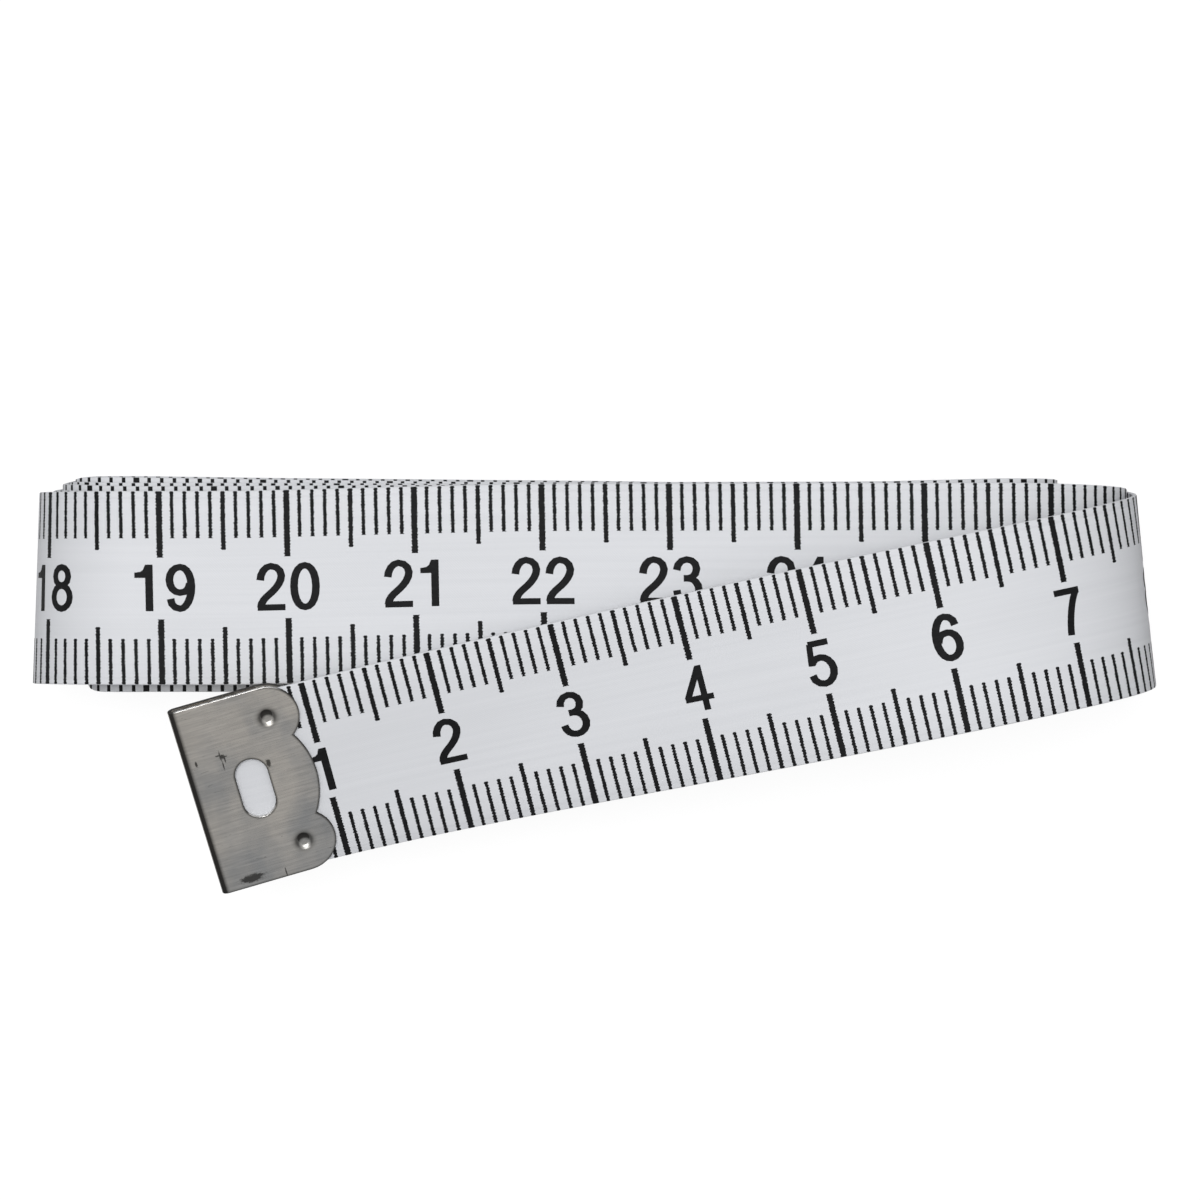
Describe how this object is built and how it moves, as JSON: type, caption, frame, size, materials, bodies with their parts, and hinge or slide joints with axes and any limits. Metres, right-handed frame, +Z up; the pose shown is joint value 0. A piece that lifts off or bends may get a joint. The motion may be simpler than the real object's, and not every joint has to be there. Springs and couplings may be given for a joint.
{
  "type": "cloth tape measure",
  "caption": "Printed cloth measuring tape wound flat into a hank, its loose end folded back over the top, with a scalloped folded metal tip on each end.",
  "frame": {"origin": "on the underside of the hank's bottom run, midway between the ends of the outermost full turn", "axes": "+X along the hank towards the outer fold, +Y across the tape towards the side away from the start tip, +Z up out of the table"},
  "size_m": [0.0889, 0.0328, 0.0174],
  "materials": {
    "tape_cloth": "coated white cloth with a black printed scale",
    "tip_metal": "dull rolled sheet with fine scratches"
  },
  "bodies": {
    "hank": {"tape_hank": "tape_cloth", "end_tip": "tip_metal"},
    "fold": {"tape_fold": "tape_cloth"},
    "free_run": {"tape_free_run": "tape_cloth", "start_tip": "tip_metal"}
  },
  "joints": [
    {"name": "fold_lower", "type": "hinge", "parent": "hank", "child": "fold", "pos_m": [0.04238, 0.00021, 0.00311], "axis": [-0.0368, 0.9962, 0.079], "range_deg": [0, 85]},
    {"name": "fold_upper", "type": "hinge", "parent": "fold", "child": "free_run", "pos_m": [0.04113, -0.00138, 0.01535], "axis": [-0.1882, 0.9806, 0.0556], "range_deg": [0, 85]}
  ],
  "couplings": [
    {"joint": "fold_upper", "follows": "fold_lower", "ratio": 1}
  ]
}
